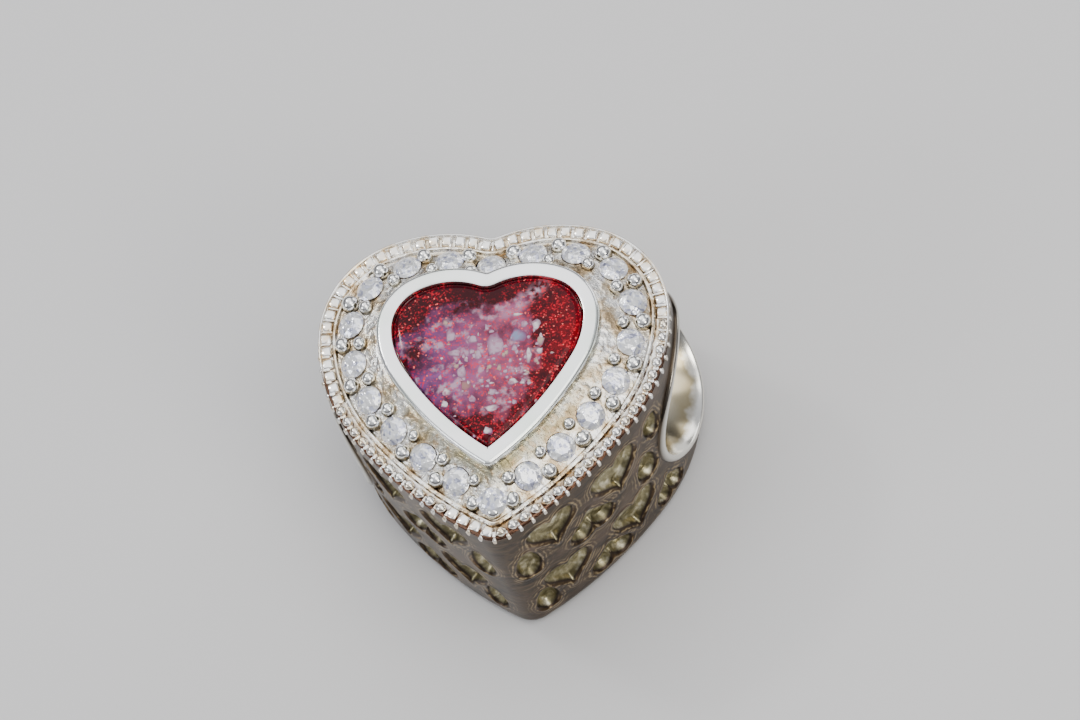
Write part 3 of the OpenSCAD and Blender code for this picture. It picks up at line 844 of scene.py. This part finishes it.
# The across term makes the red lighter to the right: a painted glow of light through the resin.
depth = times_plus(tree, gloom, -0.12, times_plus(tree, across, 0.03, murk))
deep = shade_of(tree, depth, (0.38, (0.035, 0.0, 0.003)), (0.55, (0.08, 0.0, 0.004)),
                (0.72, (0.19, 0.0, 0.004)))
resin_colour = blend_colours(tree, ramp_up(tree, pink_wash, 0.28, 0.68), deep, wash_colour)
wash_blotch = times(tree, ramp_up(tree, noise_on(tree, place, 2.6, 3.0), 0.54, 0.66),
               ramp_up(tree, pink_wash, 0.3, 0.5))
# The wash's pale blotches and the streak's white core are painted reflection, laid pale pink over the resin.
white_streak = times(tree, reckon(tree, "POWER", reflection_streak, 2.0), ramp_up(tree, fine_noise, 0.4, 0.6))
painted_pale_patches = reckon(tree, "MAXIMUM", times(tree, wash_blotch, 0.8), white_streak)
resin_colour = blend_colours(tree, painted_pale_patches, resin_colour, (0.52, 0.36, 0.46, 1))
# The glitter: one small flake in each cell of the pattern, seen where its red or green is high
flakes = add_node(tree, "ShaderNodeTexVoronoi", {"Vector": place, "Scale": 20.0})
flake = add_node(tree, "ShaderNodeSeparateColor", {"Color": flakes.outputs["Color"]})
crowded = times(tree, times_plus(tree, ramp_up(tree, fine_noise, 0.38, 0.6), 0.8, 0.2),
                times_plus(tree, gloom, -0.6, ramp_up(tree, broad_noise, 0.25, 0.48)))
strewn_thick = times(tree, ramp_up(tree, flake.outputs["Red"], 0.7, 0.97), crowded)
resin_colour = blend_colours(tree, strewn_thick, resin_colour, (0.85, 0.008, 0.03, 1))
rare = times(tree, ramp_up(tree, flake.outputs["Green"], 0.97, 0.99), ramp_up(tree, gloom, 1.0, 0.4))
colour_on(tree, shader, blend_colours(tree, rare, resin_colour, (1, 0.14, 0.12, 1)))
clear_coat(shader, 0.02)
shader.inputs["IOR"].default_value = 1.5
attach(resin_dome, "root")
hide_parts("resin_heart")

# The ash chips: flat crumbs of bone ash, white, cream, brown and bluish, that lie just under the
# resin's surface. The large ones lie where they are seen, and small ones are strewn between them.
# Each large chip: tone, place across and up, width and height.
chips = (
    ("white", 1.68, 1.43, 0.36, 0.5), ("white", 1.41, 0.39, 0.23, 0.73),
    ("beige", 1.8, 0.86, 0.31, 0.45), ("white", 1.77, 0.49, 0.28, 0.28),
    ("beige", 1.67, 0.17, 0.21, 0.28), ("pink_wash", 0.33, 0.82, 0.78, 0.95),
    ("blue", 1.03, 1.06, 0.68, 0.62), ("pink_wash", -1.2, 1.29, 0.42, 0.62),
    ("pink_wash", -0.48, 1.11, 0.42, 0.39), ("pink_wash", -1.07, 0.66, 0.57, 0.34),
    ("pink_wash", -0.87, -0.09, 0.42, 0.61), ("brown", -0.71, -0.6, 0.47, 0.5),
    ("white", -1.39, -0.77, 0.36, 0.39), ("white", -1.41, -1.16, 0.31, 0.39),
    ("white", 0.86, -0.54, 0.41, 0.31), ("beige", 0.43, -0.03, 0.21, 0.33),
    ("pink_wash", -0.2, -0.45, 0.26, 0.22), ("pink_wash", 0.19, -0.9, 0.36, 0.33),
    ("white", 0.16, -1.48, 0.57, 0.33), ("pink_wash", -0.51, -1.09, 0.31, 0.33),
    ("white", 0, -2.27, 0.36, 0.33), ("white", -1.08, -1.63, 0.18, 0.08),
    ("beige", -1.39, 1.78, 0.26, 0.28), ("pink_wash", 1.22, -0.57, 0.21, 0.22),
    ("pink_wash", 1.07, -0.14, 0.26, 0.22), ("pink_wash", 1.26, 1.52, 0.31, 0.34),
    ("pink_wash", -0.3, 0.53, 0.31, 0.5), ("pink_wash", 0.95, 0.65, 0.26, 0.34),
    ("white", 1.02, 1.88, 0.42, 0.16), ("white", 1.83, 1.02, 0.16, 0.34),
)
# The pink_wash chips take the pale pink of the painted wash of reflected light that lies over them.
chip_colours = {"white": (0.72, 0.64, 0.66, 1), "beige": (0.5, 0.37, 0.29, 1), "pink_wash": (0.5, 0.36, 0.46, 1),
                "blue": (0.24, 0.27, 0.42, 1), "brown": (0.36, 0.19, 0.17, 1)}
large_thickness, small_thickness = 0.09, 0.05
strewn_count = 80
draw = random.Random(7)
strewn = [(draw.choice(("pink_wash", "pink_wash", "white", "pink_wash", "beige")), draw.gauss(0.25, 0.8),
           draw.gauss(0.1, 0.8), draw.uniform(0.08, 0.26), draw.uniform(0.08, 0.26))
          for _ in range(strewn_count)]

bpy.context.view_layer.update()
for tone, colour in chip_colours.items():
    bpy.ops.object.select_all(action="DESELECT")
    bpy.ops.mesh.primitive_ico_sphere_add(subdivisions=2, radius=0.5 * MM)
    crumb = bpy.context.object
    for vertex in crumb.data.vertices:
        vertex.co *= 1 + 0.35 * noise.noise(vertex.co * 2600) + 0.15 * noise.noise(vertex.co * 6000)
    mark_heights(crumb, 0.5)
    places = []
    for kind, x, y, w, h in list(chips) + strewn:
        landed, surface, _, _ = resin_dome.ray_cast(Vector((x, y, 12)) * MM, Vector((0, 0, -1)))
        if kind == tone and landed:
            thickness = large_thickness if w + h > 0.5 else small_thickness
            sunk = Vector((0, 0, 0.28 * thickness * MM))
            places.append(Matrix.Translation(surface - sunk) @ Matrix.Diagonal((w, h, thickness, 1))
                          @ Matrix.Rotation(draw.uniform(0, 6.28), 4, "Z"))
    chip_piece = join_copies(crumb, places, "ash_chips_" + tone)
    smooth_below(chip_piece, 180)
    tree, shader, place = finish_on(chip_piece, "ash_" + tone, 0.0, 0.35)
    mottle = noise_on(tree, place, 6.0, 4.0)
    mark = mark_on(tree)
    chip_colour = blend_colours(tree, ramp_up(tree, mottle, 0.5, 0.75), colour, (0.4, 0.13, 0.22, 1))
    above = ramp_up(tree, mark, 0.5, 0.92)
    colour_on(tree, shader, blend_colours(tree, above, (0.22, 0.06, 0.14, 1), chip_colour))
    clear_coat(shader, 0.03)
    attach(chip_piece, "root")

# The bubble: air that was caught as the resin set. Its edge shows as a thin ring on the dome, a
# little thicker on one side.
bubble_x, bubble_y, bubble_z = 0.46, 0.66, bezel_z + 0.052
bubble_r = 0.085
round_it = np.radians(np.arange(0, 360, 15))
thickness = 0.013 + 0.005 * np.cos(round_it + 2)
bubble_rings = []
for turn in np.radians(np.arange(0, 360, 45)):
    reach = bubble_r + thickness * math.cos(turn)
    bubble_rings.append(np.stack([bubble_x + reach * np.cos(round_it), bubble_y + reach * np.sin(round_it),
                                  bubble_z - thickness * math.sin(turn)], axis=1))
bubble = wrap_sheet("bubble_ring", bubble_rings, closed_tube=True)
smooth_below(bubble, 180)
tree, shader, place = finish_on(bubble, "bubble_edge", 0.0, 0.1)
shader.inputs["Base Color"].default_value = (0.5, 0.3, 0.42, 1)
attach(bubble, "root")

# The stones: round white brilliants, pushed into their seats. Each is cut with a table, a crown
# ring of facets, a thin girdle and a pointed pavilion.
table_r, table_z = 0.27, 0.17
# Each ring of corners below the table: their number, radius, height and turn
facet_rings = ((8, 0.405, 0.1, math.pi / 8), (16, stone_r, 0.02, 0), (16, stone_r, -0.015, 0),
               (8, 0.24, -0.25, math.pi / 8), (8, 0.02, -0.44, 0))
bpy.ops.object.select_all(action="DESELECT")
bpy.ops.mesh.primitive_circle_add(vertices=8, radius=table_r * MM)
brilliant = bpy.context.object
brilliant.data.transform(Matrix.Translation((0, 0, table_z * MM)))
bpy.ops.object.mode_set(mode="EDIT")
for corners, r, z, turn in facet_rings:
    bpy.ops.mesh.primitive_circle_add(vertices=corners, radius=r * MM, location=(0, 0, z * MM),
                                      rotation=(0, 0, turn))
bpy.ops.mesh.select_all(action="SELECT")
bpy.ops.mesh.convex_hull()
bpy.ops.object.mode_set(mode="OBJECT")
for i in range(stone_count):
    stone = brilliant.copy()
    stone.data = brilliant.data.copy()
    stone.name = f"brilliant_{i + 1:02d}"
    stone.data.name = stone.name
    stone.data.transform(stone_place(i))
    bpy.context.scene.collection.objects.link(stone)
    if i == 0:
        tree, shader, place = finish_on(stone, "white_stone", 0.5, 0.06)
        # The stone's colour is painted sparkle: cells from lilac-grey to white stand in for reflections
        # inside the facets.
        glints = add_node(tree, "ShaderNodeTexVoronoi", {"Vector": place, "Scale": 9.0})
        glint = add_node(tree, "ShaderNodeSeparateColor", {"Color": glints.outputs["Color"]}).outputs["Red"]
        colour_on(tree, shader, shade_of(tree, glint, (0.0, (0.34, 0.35, 0.48)), (0.22, (0.78, 0.8, 0.96)),
                                         (0.45, (1, 1, 1))))
        shader.inputs["IOR"].default_value = 2.1
        sparkle = noise_on(tree, place, 6.0, 2.0)
        bump_on(tree, shader, sparkle, 0.32, 0.12)
        white_stone = stone.data.materials[0]
    else:
        stone.data.materials.append(white_stone)
    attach(stone, "root")
    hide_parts(f"stone_{i + 1:02d}")
bpy.data.objects.remove(brilliant)

# The grains: beads of silver raised from the floor between the stones, one outside and a smaller one
# inside in each gap, pushed over their girdles, and one alone in the tip.
outer_grain_r, inner_grain_r = 0.29, 0.23
outer_grain_inset, inner_grain_inset = row_inset - 0.3, row_inset + 0.34
grain_lift = 0.11
tip_grain_inset = 0.95
one_grain = domed_bead(20, 12, 1.2)
mark_heights(one_grain, 1)
grain_places = []
for side in (1, -1):
    for i in range(stone_count // 2):
        share = (i + 0.5) / (stone_count / 2)
        for inset, r in ((outer_grain_inset, outer_grain_r), (inner_grain_inset, inner_grain_r)):
            size = r * draw.uniform(0.93, 1.05)
            grain_places.append(on_face(inset, share, floor_at(inset) + grain_lift, side)
                                @ Matrix.Rotation(draw.uniform(0, 3), 4, "Z")
                                @ Matrix.Diagonal((size, size * draw.uniform(0.9, 1), size, 1)))
grain_places.append(on_face(tip_grain_inset, 1, floor_z + 0.05) @ Matrix.Scale(outer_grain_r, 4))
grains = join_copies(one_grain, grain_places, "silver_grains")
smooth_below(grains, 180)
tree, shader, place = finish_on(grains, "bright_grain", 1.0, 0.1)
# Painted shade: each grain is dark from its middle down and bright on top, standing for the dark reflections
# under it.
colour_on(tree, shader, shade_of(tree, mark_on(tree), (0.0, (0.17, 0.15, 0.11)), (0.25, (0.55, 0.52, 0.43)),
                                 (0.45, (0.97, 0.96, 0.92))))
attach(grains, "root")
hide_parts("silver_body")
